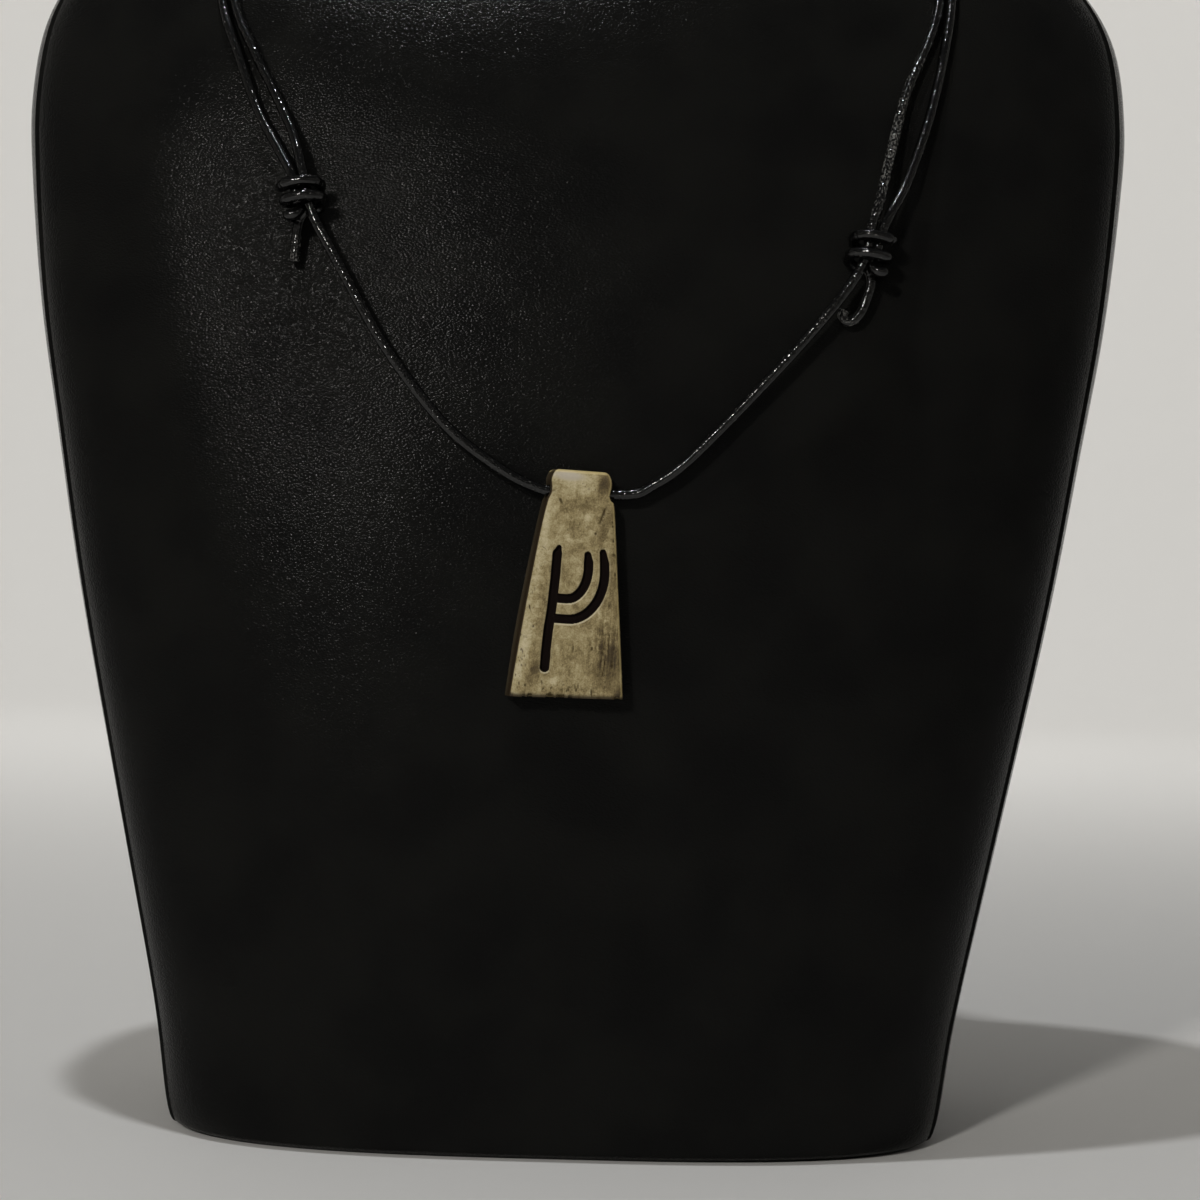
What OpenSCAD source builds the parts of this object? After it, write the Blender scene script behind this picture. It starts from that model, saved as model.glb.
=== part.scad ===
// Carved bone pendant on a sliding-knot cord, worn by a plain neck bust.
// Millimetres. The bust stands on z = 0, centred on x = 0, and its chest faces -Y.

/* [Pendant] */
// Height of the bone plate from its top edge to its foot
pendant_height = 41.2; // [36:0.1:48]
// Thickness of the bone plate
pendant_thickness = 4.6; // [4:0.1:5]
// How far the plate leans to the right as it hangs, in degrees
pendant_lean = 2.8; // [0:0.1:4]
// Radius of the hole drilled from side to side for the cord
hole_radius = 1.4; // [1.3:0.05:1.5]
// Width of the carved lines
rune_width = 1.7; // [1.2:0.05:2]
// Depth of the carved lines
rune_depth = 0.9; // [0.4:0.1:1.2]

/* [Cord] */
// Diameter of the round leather cord
cord_diameter = 2; // [1.6:0.1:2.1]
// Height that one turn of the left sliding knot takes
left_knot_pitch = 2.9; // [2.6:0.1:3.6]
// Height that one turn of the right sliding knot takes
right_knot_pitch = 3.5; // [2.6:0.1:3.6]
// Number of turns in each sliding knot
knot_turns = 2; // [1:1:3]

/* [Bust] */
// Overall height of the neck bust
bust_height = 310; // [300:1:330]

/* [Hidden] */

// Bust: one row for each height, from the foot to the top of the neck
// Height, half width, front, back, depth where it is widest, squareness of the section
bust_rows = [
    [-4, 70, -51, 43, -17, 3.0],
    [0, 74, -55, 47, -18, 3.0],
    [4, 76.5, -58, 50, -19, 3.0],
    [25, 79.5, -60, 52, -20, 3.0],
    [60, 86.5, -62, 52, -21, 3.0],
    [104, 95.5, -63, 52, -21, 3.0],
    [136, 101, -62.5, 52, -21, 3.0],
    [160, 105, -60.5, 52, -21, 3.0],
    [185, 108, -56.5, 51, -20, 2.9],
    [201, 109, -52.5, 50, -19, 2.8],
    [217, 107.5, -47, 48, -16, 2.7],
    [229, 102, -41.5, 46, -12, 2.6],
    [239, 92, -36.5, 44, -8, 2.5],
    [246, 77, -33, 42.5, -3, 2.4],
    [251, 62, -31, 41, 1, 2.3],
    [258, 52, -29.5, 40, 4, 2.2],
    [268, 47, -29, 39, 5, 2.1],
    [285, 45, -30, 38.5, 4, 2.1],
    [bust_height - 4, 44, -31.5, 38, 3, 2.1],
    [bust_height - 1, 43.6, -31.1, 37.6, 3, 2.1],
    [bust_height, 42, -29.5, 36, 3, 2.1]
];
bust_sides = 48;
bust_steps = 2;
// Block that trims the bust flat at the foot
trim_width = 300;
trim_height = 20;

// Pendant: one row for each height above the hole, from the top edge to the foot
// Height, left edge, right edge, rounding in from both faces, slant of the left side, skew
pendant_top = 3.95;
pendant_foot = pendant_top - pendant_height;
pendant_rows = [
    [pendant_top, -5.2, 4.4, 0.9, 0.6, 0],
    [3.6, -5.9, 4.9, 0.3, 0.8, 0],
    [2.9, -6.3, 5.35, 0.05, 0.85, 0],
    [2.0, -6.5, 5.6, 0, 0.85, 0],
    [1.2, -6.4, 5.6, 0, 0.85, 0],
    [0.4, -6.25, 5.45, 0, 0.8, 0],
    [-0.4, -6.3, 5.4, 0, 0.8, 0],
    [-1.2, -6.6, 5.7, 0, 0.8, 0],
    [-2, -6.9, 6.3, 0, 0.85, 0],
    [-6, -7.6, 6.85, 0, 0.85, 0],
    [-15, -8.85, 7.9, 0, 0.95, 0],
    [-25, -10.05, 9.1, 0, 1, 0.01],
    [pendant_foot + 0.9, -11, 10.35, 0, 0.8, 0.04],
    [pendant_foot + 0.3, -10.9, 10.2, 0.2, 0.8, 0.045],
    [pendant_foot, -10.5, 9.85, 0.6, 0.8, 0.045]
];
corner_radius = 0.7;
bore_length = 30;
// Middle of the hole, which is also the middle of the plate's thickness
pendant_at = [2.75, -65.7, 123.9];

// Carved lines, measured from the hole in the plate's own plane, with narrow upper ends
stave = [
    [-3.1, -10.25], [-3.35, -11.3], [-3.4, -16], [-3.6, -21], [-3.95, -25.3], [-4.1, -29], [-4.1, -32.1]
];
stave_tip = 0.55;
arm_tip = 0.7;
// Side of the arm, its top, where its bend starts, its foot, the middle of its bend, lean of its top
inner_arm = [2.5, -11.2, -13.9, -19.4, -1, 0.3];
outer_arm = [5.5, -10.6, -14.9, -23.1, -0.6, 0.6];
arm_steps = 8;
cap_steps = 6;

// Cord: the points that its middle passes through, from the left knot and twice round the neck
cord_route = [
    // Out of the left knot and up the left shoulder
    [-50.4, -62.5, 175.7], [-51.8, -61.6, 181.1], [-54.6, -58.7, 186], [-59.4, -53.9, 194.3],
    [-63.6, -49.8, 204.5], [-67.9, -45.2, 216], [-69.6, -38.3, 229.7], [-69.5, -30, 241],
    [-69.2, -22.3, 246.3], [-67, -12, 249.8], [-62.5, 3, 252.2], [-56, 14.6, 254.9],
    // Round the back of the neck
    [-51.3, 21.5, 255.6], [-46, 28, 255.3], [-38.4, 33, 256.1], [-30, 36.8, 256.5],
    [-20.2, 39.7, 256.9], [-10, 41.1, 257], [8, 41.1, 257.2], [18, 39.8, 258.1],
    [24.2, 38.1, 258.6], [30.2, 35.9, 259], [38, 32, 258.5], [45, 26.9, 257.6],
    // Down the right shoulder and through the right knot
    [50.2, 20.7, 257.4], [54.3, 13.8, 256.3], [60.8, 2.5, 253.2], [65.2, -12, 250.1],
    [68, -22, 246.8], [68.6, -30, 241.3], [69.2, -38.4, 229.4], [67.8, -45.2, 216],
    [61.9, -51.5, 201], [58.6, -56.7, 188.5], [56.5, -60.5, 179.5], [54.9, -61.8, 174.3],
    [52.6, -63.2, 165.8],
    // Across the chest and through the pendant
    [42.2, -64.6, 152], [23.8, -65.7, 131.8], [15.8, -65.7, 125.5],
    [11, -65.7, 123.7], [-1.5, -65.7, 124.1], [-5, -65.7, 124.6],
    [-11.3, -65.7, 127.5], [-20.6, -65.7, 134.1], [-28.4, -65.5, 142.7], [-35.5, -65, 152.6],
    // Through the left knot and up the left shoulder again, inside the first strand
    [-43.3, -63.8, 166], [-47.7, -62.9, 173.9], [-49.9, -61.5, 181.9], [-52.3, -57.7, 189.5],
    [-56.5, -53.5, 197.8], [-61, -49.9, 206.2], [-65.7, -45.3, 216.5], [-67, -38.5, 229.7],
    [-67.1, -30.6, 241.3], [-66.7, -22, 247.3], [-64.4, -12, 250.4], [-60.3, 2.5, 253.4],
    [-54.2, 13.8, 256.5],
    // Round the neck above the first strand, and over it to the outside
    [-50.1, 20.7, 257.6], [-45, 26.9, 257.7], [-38, 32.1, 258.6], [-29.8, 36, 259],
    [-20, 39.2, 259.2], [-10, 40.8, 259.3], [6, 41.2, 259.3], [13, 42.4, 258.9],
    [19, 42, 258], [25, 40.1, 257], [31, 37, 256.4], [38.8, 33.1, 256], [46, 28.1, 255.3],
    // Down the right shoulder to the right knot
    [51.7, 21.9, 255.5], [56.3, 15, 254.5], [63.5, 3, 251.9], [68, -12, 249.5],
    [70.5, -22.2, 245.9], [71, -29.6, 241], [71.5, -38, 229], [70.5, -44.8, 216],
    [66.7, -51.9, 198.3], [61.7, -58, 183.5], [58.4, -61, 177], [56.9, -61.8, 173.6],
    [55.4, -62.8, 168]
];
cord_sides = 8;

// Sliding knots: where they sit, and how they lean with the strands
left_knot_at = [-49.8, -62.2, 177.6];
left_knot_lean = -15;
right_knot_at = [54.8, -62.5, 169.9];
right_knot_lean = 15;
knot_tilt = 9;
knot_half_width = 3.7;
knot_half_depth = 3.3;
knot_setback = 0.9;
knot_drop = 0.4;
strand_offset = 1.05;
// The coil starts a little past its left side, and ends on the left
coil_start = 225;
coil_end = 180 + 360 * knot_turns;
coil_steps = 6 * knot_turns;
path_steps = 2;
// Across, out from the chest and up along the strands
knot_start = [
    [-strand_offset, 0, -2.2], [-1.35, 0.45, -3.2], [-2.3, 0.85, -3.75], [-3.3, 0.35, -3.5]
];
// The ends hang below the knots, and the right one curls into a hook
left_tail = [
    [-50.1, -60.4, 173.4], [-50.6, -60.3, 171.5], [-50.9, -60.3, 168.6], [-51.1, -60.3, 165.4]
];
right_tail = [
    [54.8, -60.9, 165.3], [55, -60.9, 163.6], [54.4, -60.9, 161.3], [53.6, -60.9, 159.1],
    [52.3, -60.9, 157.3], [50.9, -60.9, 156.9], [50, -60.9, 157.8], [50.4, -60.9, 158.9]
];

// Helpers for smooth rows and swept tubes

function blend(a, b, c, d, t) = 0.5 * (2 * b + (c - a) * t + (2 * a - 5 * b + 4 * c - d) * t * t
    + (3 * b - a - 3 * c + d) * t * t * t);

function row(rows, i) = rows[max(0, min(len(rows) - 1, i))];

function smooth(rows, steps) = concat(
    [for (i = [0 : len(rows) - 2], s = [0 : steps - 1])
        blend(row(rows, i - 1), row(rows, i), row(rows, i + 1), row(rows, i + 2), s / steps)],
    [rows[len(rows) - 1]]
);

function unit(v) = v / norm(v);

function heading(path, i) = unit(path[min(i + 1, len(path) - 1)] - path[max(i - 1, 0)]);

function squared(v, t) = unit(v - (v * t) * t);

// A side direction for each point, carried along without twisting
function side_directions(path) = [
    for (i = 0, s = squared([0.31, 0.43, 0.85], heading(path, 0));
        i < len(path);
        i = i + 1, s = i < len(path) ? squared(s, heading(path, i)) : s) s
];

function tube_rings(path, radius, sides) = let (across = side_directions(path)) [
    for (i = [0 : len(path) - 1])
        let (t = heading(path, i), u = across[i], v = cross(t, u))
            [for (k = [0 : sides - 1])
                path[i] + radius * (cos(360 * k / sides) * u + sin(360 * k / sides) * v)]
];

// A closed solid through rings of equal count, each seen anticlockwise from the last one
module skin(rings) {
    count = len(rings[0]);
    last = len(rings) - 1;
    polyhedron(
        points = [for (ring = rings, p = ring) p],
        faces = concat(
            [[for (k = [0 : count - 1]) k]],
            [for (i = [0 : last - 1], k = [0 : count - 1])
                let (a = i * count + k, b = i * count + (k + 1) % count)
                    [a, a + count, b + count, b]],
            [[for (k = [count - 1 : -1 : 0]) last * count + k]]
        )
    );
}

// Bust

function signed_power(v, p) = sign(v) * pow(abs(v), p);

function bust_ring(r) = [
    for (k = [0 : bust_sides - 1])
        let (a = 360 * k / bust_sides, out = signed_power(sin(a), 2 / r[5]))
            [
                r[1] * signed_power(cos(a), 2 / r[5]),
                r[4] + out * (out < 0 ? r[4] - r[2] : r[3] - r[4]),
                r[0]
            ]
];

module bust() {
    color("#202020")
        difference() {
            skin([for (r = smooth(bust_rows, bust_steps)) bust_ring(r)]);
            translate([-trim_width / 2, -trim_width / 2, -trim_height])
                cube([trim_width, trim_width, trim_height]);
        }
}

// Pendant

function corner(x, y, turn) = [
    for (a = [0 : 45 : 90])
        [x + corner_radius * cos(turn + a), y + corner_radius * sin(turn + a)]
];

// A slice of the plate, with the slanted left side narrower at the front
function pendant_ring(r) = let (
    front = r[3] - pendant_thickness / 2,
    back = pendant_thickness / 2 - r[3],
    inset = corner_radius,
    outline = concat(
        corner(r[2] - inset, back - inset, 0),
        corner(r[1] + inset, back - inset, 90),
        corner(r[1] + r[4] + inset, front + inset, 180),
        corner(r[2] - inset, front + inset, 270)
    )
) [for (p = outline) [p[0], p[1], r[0] + r[5] * p[0]]];

function arm(a) = concat(
    [[a[0] - a[5], a[1]], [a[0] - a[5] / 4, (a[1] + a[2]) / 2]],
    [for (s = [0 : arm_steps])
        let (t = 90 * s / arm_steps)
            [a[4] + (a[0] - a[4]) * cos(t), a[2] + (a[3] - a[2]) * sin(t)]],
    [[stave[2][0], a[3]]]
);

// Widths along a line, as shares of the rune's width
function line_widths(path, tip) = [for (i = [0 : len(path) - 1]) i == 0 ? tip : 1];

function stroke_edge(path, widths, side) = [
    for (i = [0 : len(path) - 1])
        let (t = heading(path, i))
            path[i] + side * widths[i] * rune_width / 2 * [-t[1], t[0]]
];

// Round end of a carved line, turning clockwise past the way that it points
function round_end(at, way, width) = [
    for (s = [1 : cap_steps - 1])
        let (a = 90 - 180 * s / cap_steps)
            at + width / 2 * (cos(a) * way + sin(a) * [-way[1], way[0]])
];

// A line of the carving, with a round top and an end that is round or square
module stroke(path, widths, round_foot) {
    last = len(path) - 1;
    left = stroke_edge(path, widths, 1);
    right = stroke_edge(path, widths, -1);
    translate([0, -pendant_thickness / 2, 0])
        rotate([90, 0, 0])
            linear_extrude(height = 2 * rune_depth, center = true)
                polygon(concat(
                    left,
                    round_foot ? round_end(path[last], heading(path, last), widths[last] * rune_width) : [],
                    [for (i = [last : -1 : 0]) right[i]],
                    round_end(path[0], -heading(path, 0), widths[0] * rune_width)
                ));
}

module rune() {
    stroke(stave, line_widths(stave, stave_tip), true);
    for (path = [arm(inner_arm), arm(outer_arm)])
        stroke(path, line_widths(path, arm_tip), false);
}

module pendant() {
    color("#b3a67e")
        translate(pendant_at)
            rotate([0, pendant_lean, 0])
                difference() {
                    skin([for (i = [len(pendant_rows) - 1 : -1 : 0]) pendant_ring(pendant_rows[i])]);
                    rotate([0, 90, 0])
                        cylinder(h = bore_length, r = hole_radius, center = true, $fn = 32);
                    rune();
                }
}

// Cord and knots

module tube(path) {
    skin(tube_rings(path, cord_diameter / 2, cord_sides));
}

module cord() {
    color("#141414")
        tube(cord_route);
}

// The coil climbs from the left, round the back first, and passes the front once a turn
function knot_coil(pitch) = [
    for (s = [0 : coil_steps])
        let (a = coil_start + (coil_end - coil_start) * s / coil_steps)
            [
                knot_half_width * cos(a),
                knot_half_depth * sin(a) - knot_setback,
                pitch * ((a - 180) / 360 - knot_turns / 2) - knot_drop
            ]
];

// Behind the top turn and down through the knot, between the strands and the chest
function knot_tuck(pitch) = let (top = pitch * knot_turns / 2 - knot_drop) [
    [-2.5, -2.5, top + 0.8], [-0.8, -2.9, top + 0.9], [0.2, -2.3, top - 0.2], [0, -1.95, 0.6],
    [0, -1.95, -2.4]
];

// Turns the knot's own directions into the part's
function placed(path, at, lean, flip) = let (
    across = [cos(lean), 0, -sin(lean)],
    out = [sin(lean) * sin(knot_tilt), -cos(knot_tilt), cos(lean) * sin(knot_tilt)],
    up = [sin(lean) * cos(knot_tilt), sin(knot_tilt), cos(lean) * cos(knot_tilt)]
) [for (p = path) at + flip * p[0] * across + p[1] * out + p[2] * up];

function knot_path(at, lean, flip, pitch, tail) = smooth(
    concat(placed(concat(knot_start, knot_coil(pitch), knot_tuck(pitch)), at, lean, flip), tail),
    path_steps
);

module left_knot() {
    color("#1a1a1a")
        tube(knot_path(left_knot_at, left_knot_lean, 1, left_knot_pitch, left_tail));
}

module right_knot() {
    color("#1a1a1a")
        tube(knot_path(right_knot_at, right_knot_lean, -1, right_knot_pitch, right_tail));
}

bust();
pendant();
cord();
left_knot();
right_knot();
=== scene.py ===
"""Looks of a carved bone rune pendant on a sliding-knot leather cord, worn by a plain neck bust.

Metres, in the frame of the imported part: the bust stands on z = 0 and its chest faces -Y.
"""
import math
import random

import bmesh
import bpy
import numpy as np
from mathutils import Matrix, Vector


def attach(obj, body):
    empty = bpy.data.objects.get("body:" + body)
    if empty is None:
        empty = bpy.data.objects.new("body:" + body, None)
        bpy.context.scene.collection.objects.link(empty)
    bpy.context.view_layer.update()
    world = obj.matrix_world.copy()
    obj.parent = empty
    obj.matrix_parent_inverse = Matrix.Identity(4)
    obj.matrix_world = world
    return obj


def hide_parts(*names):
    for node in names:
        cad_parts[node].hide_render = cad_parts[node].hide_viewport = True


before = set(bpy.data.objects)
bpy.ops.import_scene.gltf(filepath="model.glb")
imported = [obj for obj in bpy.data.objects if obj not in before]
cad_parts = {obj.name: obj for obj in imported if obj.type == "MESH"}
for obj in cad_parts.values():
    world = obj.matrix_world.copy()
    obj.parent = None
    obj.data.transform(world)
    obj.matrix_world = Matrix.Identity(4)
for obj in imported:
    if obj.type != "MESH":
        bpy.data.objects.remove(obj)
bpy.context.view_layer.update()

# Camera: level, 43 cm in front of the chest and a little below the pendant's hole.
# It is tipped by a degree and a half, which leans the bust to the right in the picture.
CAMERA_AT = (0.0068, -0.496, 0.1045)
CAMERA_TIP = math.radians(1.5)
PICTURE_PIXELS = 1200
FOCAL_PIXELS = 2365

camera_data = bpy.data.cameras.new("camera")
camera_data.lens = camera_data.sensor_width * FOCAL_PIXELS / PICTURE_PIXELS
camera = bpy.data.objects.new("camera", camera_data)
camera.matrix_world = (
    Matrix.Translation(CAMERA_AT) @ Matrix.Rotation(math.pi / 2, 4, "X") @ Matrix.Rotation(CAMERA_TIP, 4, "Z")
)
bpy.context.collection.objects.link(camera)
bpy.context.scene.camera = camera
bpy.context.scene.view_settings.view_transform = "Standard"

# Cord: one length of round, waxed black leather. It leaves the left knot, goes round the neck,
# through the right knot, the pendant and the left knot, and round the neck to the right knot.
CORD_RADIUS = 0.001
CORD_UNEVENNESS = 0.022
CORD_SIDES = 14
CORD_STEPS = 9
CORD_SEED = 3
CORD_ROUTE = [
    # Out of the left knot and up the left shoulder
    (-0.0504, -0.0625, 0.1757), (-0.0518, -0.0616, 0.1811), (-0.0546, -0.0587, 0.186),
    (-0.0594, -0.0539, 0.1943), (-0.0636, -0.0498, 0.2045), (-0.0679, -0.0452, 0.216),
    (-0.0696, -0.0383, 0.2297), (-0.0695, -0.03, 0.241), (-0.0692, -0.0223, 0.2463),
    (-0.067, -0.012, 0.2498), (-0.0625, 0.003, 0.2522), (-0.056, 0.0146, 0.2549),
    # Round the back of the neck
    (-0.0513, 0.0215, 0.2556), (-0.046, 0.028, 0.2553), (-0.0384, 0.033, 0.2561),
    (-0.03, 0.0368, 0.2565), (-0.0202, 0.0397, 0.2569), (-0.01, 0.0411, 0.257),
    (0.008, 0.0411, 0.2572), (0.018, 0.0398, 0.2581), (0.0242, 0.0381, 0.2586),
    (0.0302, 0.0359, 0.259), (0.038, 0.032, 0.2585), (0.045, 0.0269, 0.2576),
    # Down the right shoulder and through the right knot
    (0.0502, 0.0207, 0.2574), (0.0543, 0.0138, 0.2563), (0.0608, 0.0025, 0.2532),
    (0.0652, -0.012, 0.2501), (0.068, -0.022, 0.2468), (0.0686, -0.03, 0.2413),
    (0.0692, -0.0384, 0.2294), (0.0678, -0.0452, 0.216), (0.0619, -0.0515, 0.201),
    (0.0586, -0.0567, 0.1885), (0.0565, -0.0605, 0.1795), (0.0549, -0.0618, 0.1743),
    (0.0526, -0.0632, 0.1658),
    # Across the chest and through the pendant
    (0.0422, -0.0646, 0.152), (0.0238, -0.0657, 0.1318), (0.0158, -0.0657, 0.1255),
    (0.011, -0.0657, 0.1237), (-0.0015, -0.0657, 0.1241), (-0.005, -0.0657, 0.1246),
    (-0.0113, -0.0657, 0.1275), (-0.0206, -0.0657, 0.1341), (-0.0284, -0.0655, 0.1427),
    (-0.0355, -0.065, 0.1526),
    # Through the left knot and up the left shoulder again, inside the first strand
    (-0.0433, -0.0638, 0.166), (-0.0477, -0.0629, 0.1739), (-0.0499, -0.0615, 0.1819),
    (-0.0523, -0.0577, 0.1895), (-0.0565, -0.0535, 0.1978), (-0.061, -0.0499, 0.2062),
    (-0.0657, -0.0453, 0.2165), (-0.067, -0.0385, 0.2297), (-0.0671, -0.0306, 0.2413),
    (-0.0667, -0.022, 0.2473), (-0.0644, -0.012, 0.2504), (-0.0603, 0.0025, 0.2534),
    (-0.0542, 0.0138, 0.2565),
    # Round the neck above the first strand, and over it to the outside
    (-0.0501, 0.0207, 0.2576), (-0.045, 0.0269, 0.2577), (-0.038, 0.0321, 0.2586),
    (-0.0298, 0.036, 0.259), (-0.02, 0.0392, 0.2592), (-0.01, 0.0408, 0.2593),
    (0.006, 0.0412, 0.2593), (0.013, 0.0424, 0.2589), (0.019, 0.042, 0.258),
    (0.025, 0.0401, 0.257), (0.031, 0.037, 0.2564), (0.0388, 0.0331, 0.256),
    (0.046, 0.0281, 0.2553),
    # Down the right shoulder to the right knot
    (0.0517, 0.0219, 0.2555), (0.0563, 0.015, 0.2545), (0.0635, 0.003, 0.2519),
    (0.068, -0.012, 0.2495), (0.0705, -0.0222, 0.2459), (0.071, -0.0296, 0.241),
    (0.0715, -0.038, 0.229), (0.0705, -0.0448, 0.216), (0.0667, -0.0519, 0.1983),
    (0.0617, -0.058, 0.1835), (0.0584, -0.061, 0.177), (0.0569, -0.0618, 0.1736),
    (0.0554, -0.0628, 0.168),
]
# The right knot has rubbed the strand that it slides on: the middle of that stretch, measured along
# the cord, and how far it reaches each way
CORD_WORN = (0.366, 0.03)
CORD_BLACK = (0.0012, 0.0012, 0.0012, 1)
CORD_GREY = (0.003, 0.003, 0.0028, 1)
CORD_BARE = (0.13, 0.127, 0.118, 1)


def smooth_rows(rows, steps):
    """Rows of numbers with steps - 1 new rows in each gap, on a curve through the old ones."""
    rows = [np.array(row, dtype=float) for row in rows]
    last = len(rows) - 1
    made = []
    for i in range(last):
        a, b, c, d = (rows[max(0, min(last, i + k))] for k in (-1, 0, 1, 2))
        for s in range(steps):
            t = s / steps
            made.append(0.5 * (
                2 * b + (c - a) * t + (2 * a - 5 * b + 4 * c - d) * t ** 2 + (3 * b - a - 3 * c + d) * t ** 3
            ))
    return [row.tolist() for row in made + [rows[last]]]


def finished(bm, name):
    """Turns a bmesh into an object at the origin, with smooth faces."""
    mesh = bpy.data.meshes.new(name)
    bm.to_mesh(mesh)
    bm.free()
    mesh.shade_smooth()
    piece = bpy.data.objects.new(name, mesh)
    bpy.context.collection.objects.link(piece)
    return piece


def strand(name, path, seed, worn_at, worn_reach):
    """A round strand of leather along path, slightly uneven, with cut ends.

    Its point attribute straight is the same strand laid out straight along Z, for its material.
    Scuff is how much the leather is rubbed, from 1 at worn_at along it to 0 at worn_reach from there.
    """
    uneven = random.Random(seed)
    path = [Vector(p) for p in path]
    last = len(path) - 1
    headings = [(path[min(i + 1, last)] - path[max(i - 1, 0)]).normalized() for i in range(last + 1)]
    bm = bmesh.new()
    straight = bm.verts.layers.float_vector.new("straight")
    scuff = bm.verts.layers.float.new("scuff")
    upright = Vector((0, 0, 1)).rotation_difference(headings[0]).to_matrix().to_4x4()
    bmesh.ops.create_circle(bm, cap_ends=True, radius=CORD_RADIUS, segments=CORD_SIDES)
    for v in bm.verts:
        v[straight] = v.co
    bmesh.ops.transform(bm, matrix=Matrix.Translation(path[0]) @ upright, verts=bm.verts)
    edges = bm.edges[:]
    along, size = 0.0, 1.0
    for i in range(1, last + 1):
        along += (path[i] - path[i - 1]).length
        grown = 1 + uneven.uniform(-CORD_UNEVENNESS, CORD_UNEVENNESS)
        turn = headings[i - 1].rotation_difference(headings[i]).to_matrix().to_4x4()
        made = bmesh.ops.extrude_edge_only(bm, edges=edges)["geom"]
        verts = [g for g in made if isinstance(g, bmesh.types.BMVert)]
        edges = [g for g in made if isinstance(g, bmesh.types.BMEdge) and len(g.link_faces) == 1]
        move = (
            Matrix.Translation(path[i]) @ Matrix.Scale(grown / size, 4) @ turn
            @ Matrix.Translation(-path[i - 1])
        )
        size = grown
        bmesh.ops.transform(bm, matrix=move, verts=verts)
        for v in verts:
            v[straight] = (*v[straight][:2], along)
            v[scuff] = max(0, 1 - abs(along - worn_at) / worn_reach)
    bmesh.ops.edgeloop_fill(bm, edges=edges)
    bmesh.ops.recalc_face_normals(bm, faces=bm.faces)
    return finished(bm, name)


def add_node(tree, kind, inputs=None, **settings):
    """Adds a shader node, with its settings, and its inputs set or linked by their names or numbers."""
    made = tree.nodes.new(kind)
    for name, value in settings.items():
        setattr(made, name, value)
    for name, value in (inputs or {}).items():
        if isinstance(value, bpy.types.NodeSocket):
            tree.links.new(value, made.inputs[name])
        else:
            made.inputs[name].default_value = value
    return made


def attribute(tree, name, output="Fac"):
    """A value of the mesh's own points."""
    return add_node(tree, "ShaderNodeAttribute", attribute_name=name).outputs[output]


def stretched(tree, place, stretch):
    """The place of a pattern that is drawn out where stretch is under 1."""
    return add_node(tree, "ShaderNodeMapping", {"Vector": place, "Scale": stretch}).outputs["Vector"]


def new_grain_group():
    """The grain of leather, bone and leatherette as one node group: soft noise, drawn out by Stretch."""
    group = bpy.data.node_groups.new("grain", "ShaderNodeTree")
    for name in ("Place", "Stretch"):
        group.interface.new_socket(name, in_out="INPUT", socket_type="NodeSocketVector")
    for name in ("Scale", "Detail", "Roughness", "Distortion"):
        group.interface.new_socket(name, in_out="INPUT", socket_type="NodeSocketFloat")
    group.interface.new_socket("Grain", in_out="OUTPUT", socket_type="NodeSocketFloat")
    given = group.nodes.new("NodeGroupInput").outputs
    made = add_node(group, "ShaderNodeTexNoise", {
        "Vector": stretched(group, given["Place"], given["Stretch"]), "Scale": given["Scale"],
        "Detail": given["Detail"], "Roughness": given["Roughness"], "Distortion": given["Distortion"],
    })
    add_node(group, "NodeGroupOutput", {"Grain": made.outputs["Fac"]})
    return group


grain_group = new_grain_group()


def grain(tree, place, scale, detail=3.0, roughness=0.5, distortion=0.0, stretch=(1, 1, 1)):
    """Grain between 0 and 1, with its own values. Its scale is in waves a metre."""
    made = add_node(tree, "ShaderNodeGroup", {
        "Place": place, "Stretch": stretch, "Scale": scale, "Detail": detail, "Roughness": roughness,
        "Distortion": distortion,
    }, node_tree=grain_group)
    return made.outputs["Grain"]


def ranged(tree, value, low, high, to_low=0.0, to_high=1.0):
    """A value spread smoothly from one range over another."""
    made = add_node(tree, "ShaderNodeMapRange", {
        "Value": value, "From Min": low, "From Max": high, "To Min": to_low, "To Max": to_high,
    }, interpolation_type="SMOOTHSTEP")
    return made.outputs["Result"]


def worked_out(tree, operation, a, b):
    """The result of a sum with two values."""
    return add_node(tree, "ShaderNodeMath", {0: a, 1: b}, operation=operation).outputs["Value"]


def added(tree, a, b):
    return worked_out(tree, "ADD", a, b)


def multiplied(tree, a, b):
    return worked_out(tree, "MULTIPLY", a, b)


def mixed(tree, factor, under, over):
    """One colour laid over another by a factor."""
    # The node's factor, its two colours and its mixed colour have these numbers among its sockets
    return add_node(tree, "ShaderNodeMix", {0: factor, 6: under, 7: over}, data_type="RGBA").outputs[2]


def bumped(tree, height, distance, strength=1.0):
    """A surface normal tipped by a height, which stands distance metres tall."""
    made = add_node(tree, "ShaderNodeBump", {"Height": height, "Distance": distance, "Strength": strength})
    return made.outputs["Normal"]


def new_material(name):
    """An empty material, its node tree and its Principled shader."""
    made = bpy.data.materials.new(name)
    made.use_nodes = True
    tree = made.node_tree
    return made, tree, tree.nodes["Principled BSDF"]


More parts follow.
